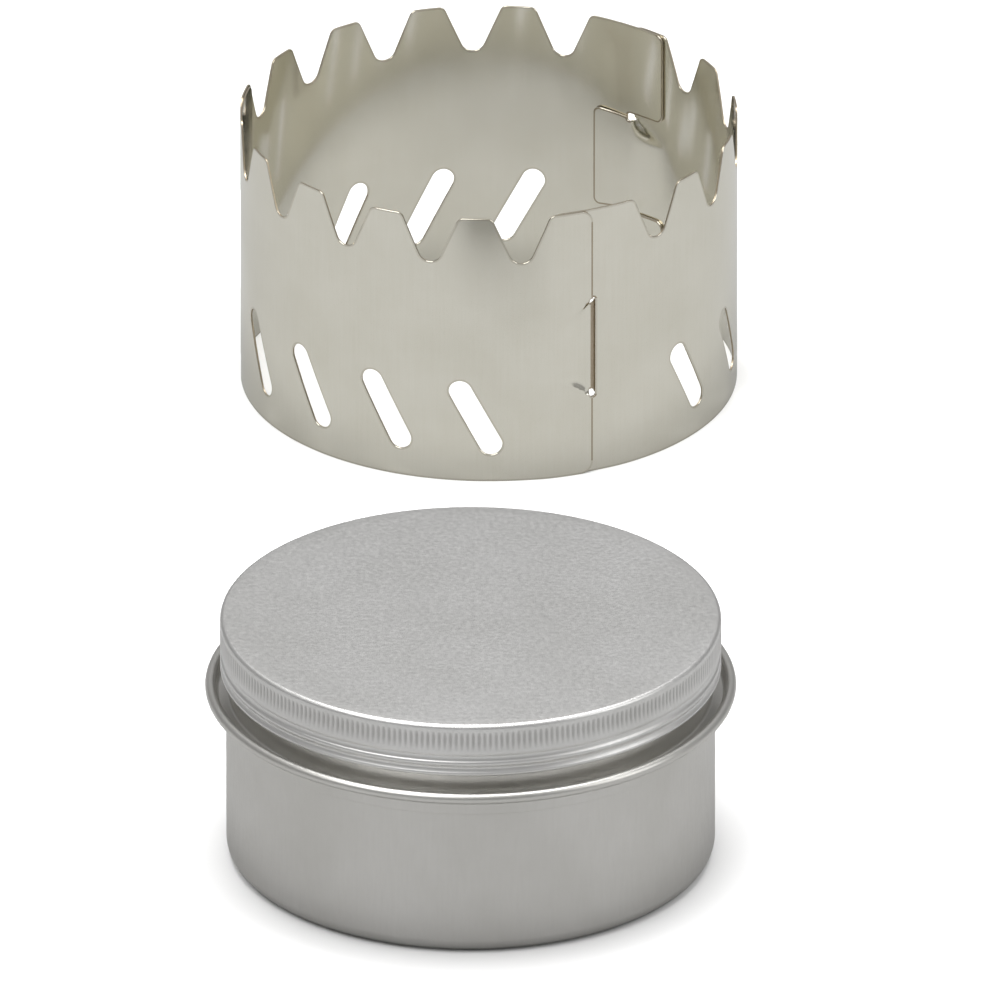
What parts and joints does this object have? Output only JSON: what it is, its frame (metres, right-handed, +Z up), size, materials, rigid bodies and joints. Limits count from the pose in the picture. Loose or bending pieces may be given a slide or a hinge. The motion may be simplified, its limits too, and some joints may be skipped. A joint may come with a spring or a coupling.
{
  "type": "alcohol spirit stove",
  "caption": "Screw-top aluminium tin with an absorbent wick under a mesh screen, and a toothed, slotted stainless ring of hooked panels that serves as pot stand and windshield.",
  "frame": {"origin": "middle of the tin's base, on the surface that the stove stands on", "axes": "+Z up, +Y from the tin towards the pot stand that stands behind it, +X to the right seen from the front"},
  "size_m": [0.09, 0.269, 0.0495],
  "materials": {
    "tin_aluminium": "satin, faint vertical drawing marks",
    "lid_aluminium": "satin",
    "stand_steel": "bright rolled stainless, semi-mirror",
    "screen_steel": "woven wire",
    "wick_fibre": "pressed ceramic fibre felt",
    "liner_foam": "fine closed-cell foam"
  },
  "bodies": {
    "tin": {"tin_body": "tin_aluminium", "wick_pad": "wick_fibre", "wick_screen": "screen_steel"},
    "liner": {"lid_liner": "liner_foam"},
    "lid": {"lid": "lid_aluminium"},
    "stand_right": {"panel_right": "stand_steel"},
    "stand_back": {"panel_back": "stand_steel"},
    "stand_front": {"panel_front": "stand_steel"}
  },
  "joints": [
    {"name": "lid_lift", "type": "slide", "parent": "tin", "child": "liner", "axis": [0, 0, 1], "range_m": [0, 0.05]},
    {"name": "lid_turn", "type": "hinge", "parent": "liner", "child": "lid", "pos_m": [0, 0, 0.043], "axis": [0, 0, 1], "continuous": true},
    {"name": "stand_lift", "type": "slide", "parent": "tin", "child": "stand_right", "axis": [0, 0, 1], "range_m": [0, 0.05]},
    {"name": "stand_back_open", "type": "hinge", "parent": "stand_right", "child": "stand_back", "pos_m": [0.0273, 0.2167, 0], "axis": [0, 0, -1], "range_deg": [0, 60]},
    {"name": "stand_front_open", "type": "hinge", "parent": "stand_right", "child": "stand_front", "pos_m": [0.0209, 0.1436, 0], "axis": [0, 0, 1], "range_deg": [0, 60]}
  ],
  "couplings": [
    {"joint": "stand_front_open", "follows": "stand_back_open", "ratio": 1}
  ]
}
